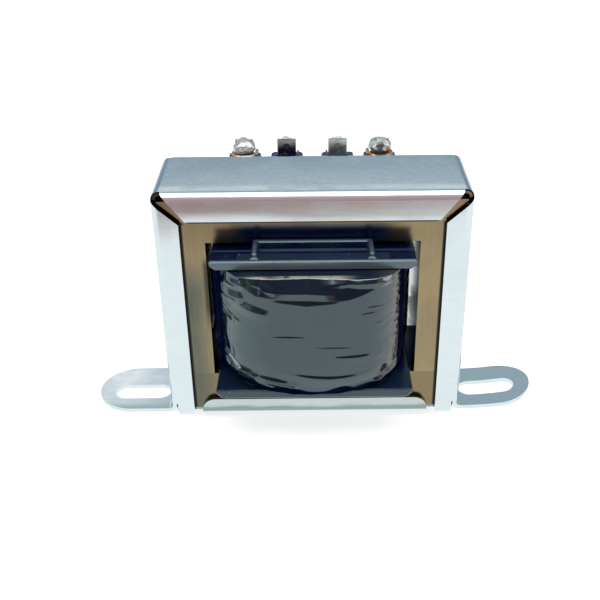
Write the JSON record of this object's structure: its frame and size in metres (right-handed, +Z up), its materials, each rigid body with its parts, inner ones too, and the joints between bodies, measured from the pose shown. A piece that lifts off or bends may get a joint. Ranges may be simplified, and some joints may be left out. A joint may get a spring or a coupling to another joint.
{
  "type": "speaker line transformer",
  "caption": "Small speaker line transformer: an interleaved EI core in a folded channel frame with slotted feet, a tape-wrapped coil on a moulded bobbin and soldered terminal lugs.",
  "frame": {"origin": "under the middle of the core, on the plane that the feet stand on", "axes": "+Z up, +X along the line of the two feet, +Y towards the terminal lugs; the plain side of the coil faces -Y"},
  "size_m": [0.0661, 0.0304, 0.0371],
  "materials": {
    "zinc_sheet": "satin zinc plate",
    "core_steel": "bare silicon steel with a brown oxide film",
    "bobbin_plastic": "moulded, slight gloss",
    "black_tape": "glossy creased film",
    "polyester_film": "clear amber film",
    "copper": "enamelled copper",
    "tinned_lug": "dull tin plate",
    "solder": "bright solder"
  },
  "bodies": {
    "root": {"channel_frame": "zinc_sheet", "base_plate": "zinc_sheet", "e_laminations": "core_steel", "i_laminations": "core_steel", "bobbin": "bobbin_plastic", "primary_winding": "copper", "layer_insulation": "polyester_film", "secondary_winding": "copper", "tape_wrap": "black_tape", "terminal_lug_1": "tinned_lug", "terminal_lug_2": "tinned_lug", "terminal_lug_3": "tinned_lug", "terminal_lug_4": "tinned_lug", "lead_wire_1": "copper", "lead_wire_2": "copper", "lead_wire_3": "copper", "lead_wire_4": "copper", "solder_joint_1": "solder", "solder_joint_2": "solder", "solder_joint_3": "solder", "solder_joint_4": "solder"}
  },
  "joints": []
}
